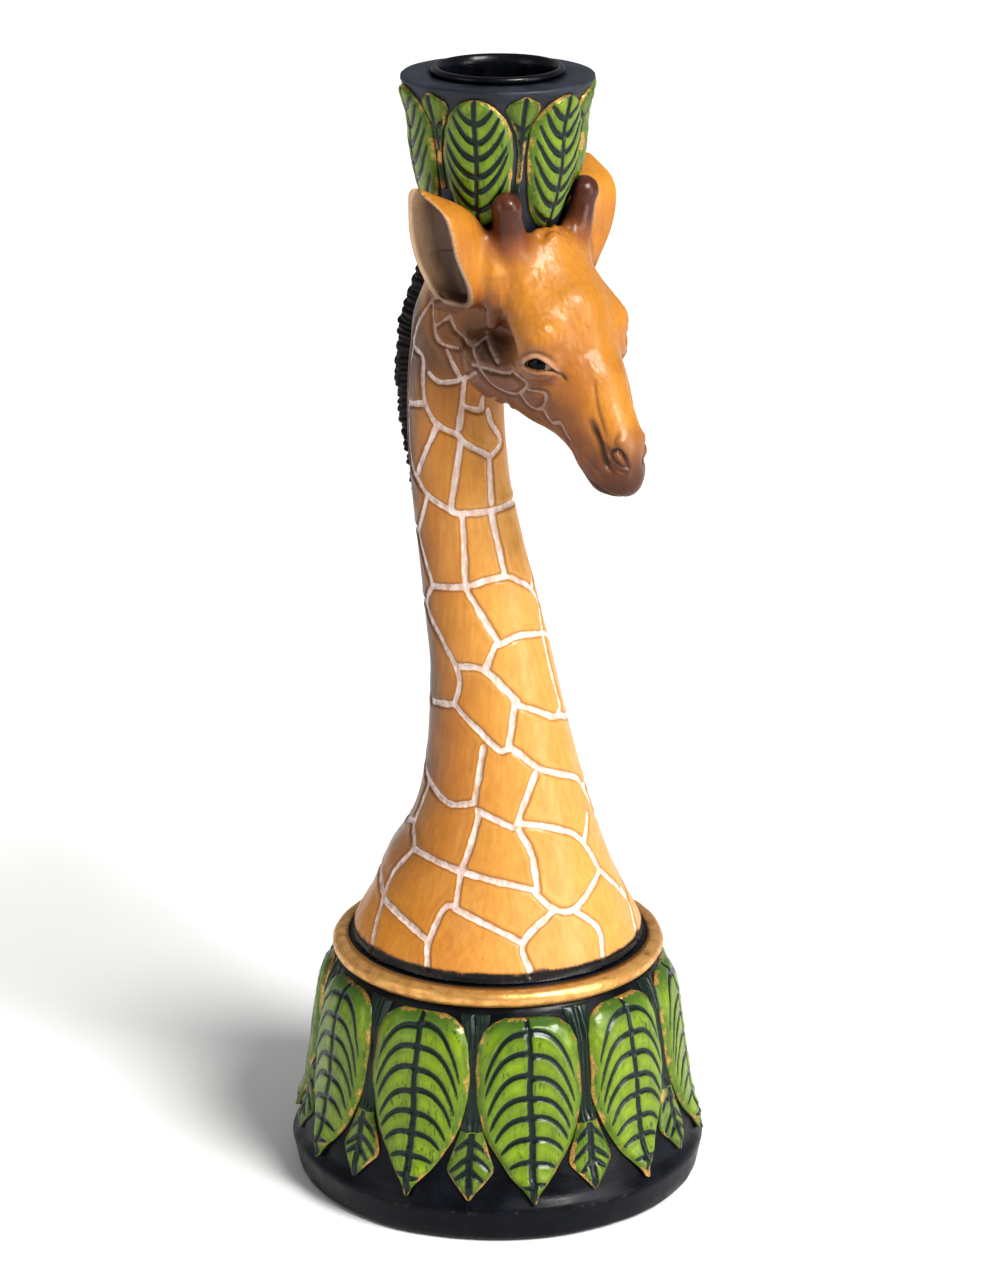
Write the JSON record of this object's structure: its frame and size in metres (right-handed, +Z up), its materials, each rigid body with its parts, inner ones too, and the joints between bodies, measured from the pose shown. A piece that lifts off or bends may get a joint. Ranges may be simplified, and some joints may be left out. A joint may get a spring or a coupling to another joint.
{
  "type": "candlestick",
  "caption": "Carved and painted giraffe head and neck candlestick on a leaf-clad bell foot, with a leafy candle cup on the crown.",
  "frame": {"origin": "centre of the foot print on the surface it stands on", "axes": "+Z up along the axis of the foot and the candle cup; the animal looks along -Y and its right side is -X"},
  "size_m": [0.0926, 0.0926, 0.25],
  "materials": {
    "black_wood": "black paint over turned wood, satin",
    "leaf_paint": "lime green paint over carved wood, glossy varnish, dark veins, worn gold edges",
    "leaf_paint_dark": "darker green paint over carved wood, glossy varnish, worn gold edges",
    "gold_paint": "rubbed gold paint over turned wood",
    "felt": "pressed felt",
    "screw_steel": "plain zinc-plated screw",
    "neck_paint": "orange-tan paint over carved wood with lilac-white grooves, glossy varnish",
    "mane_paint": "brown-black paint over carved wood",
    "head_paint": "orange-tan paint over carved wood, brown shading, glossy varnish",
    "ear_paint": "orange-tan paint outside, cream inside, glossy varnish",
    "horn_paint": "dark red-brown paint over carved wood, glossy varnish",
    "eye_bead": "solid black glass bead",
    "dowel_wood": "bare beech dowel",
    "liner_enamel": "black enamel, satin to gloss"
  },
  "bodies": {
    "root": {"base_body": "black_wood", "base_leaves_large": "leaf_paint", "base_leaves_small": "leaf_paint_dark", "gold_ring": "gold_paint", "base_felt": "felt", "base_screw": "screw_steel", "neck": "neck_paint", "mane": "mane_paint", "head": "head_paint", "head_dowel": "dowel_wood", "ear_right": "ear_paint", "ear_left": "ear_paint", "horn_right": "horn_paint", "horn_left": "horn_paint", "eye_right": "eye_bead", "eye_left": "eye_bead", "cup_dowel": "dowel_wood", "candle_cup": "black_wood", "cup_leaves_large": "leaf_paint", "cup_leaves_small": "leaf_paint_dark", "socket_liner": "liner_enamel"}
  },
  "joints": []
}
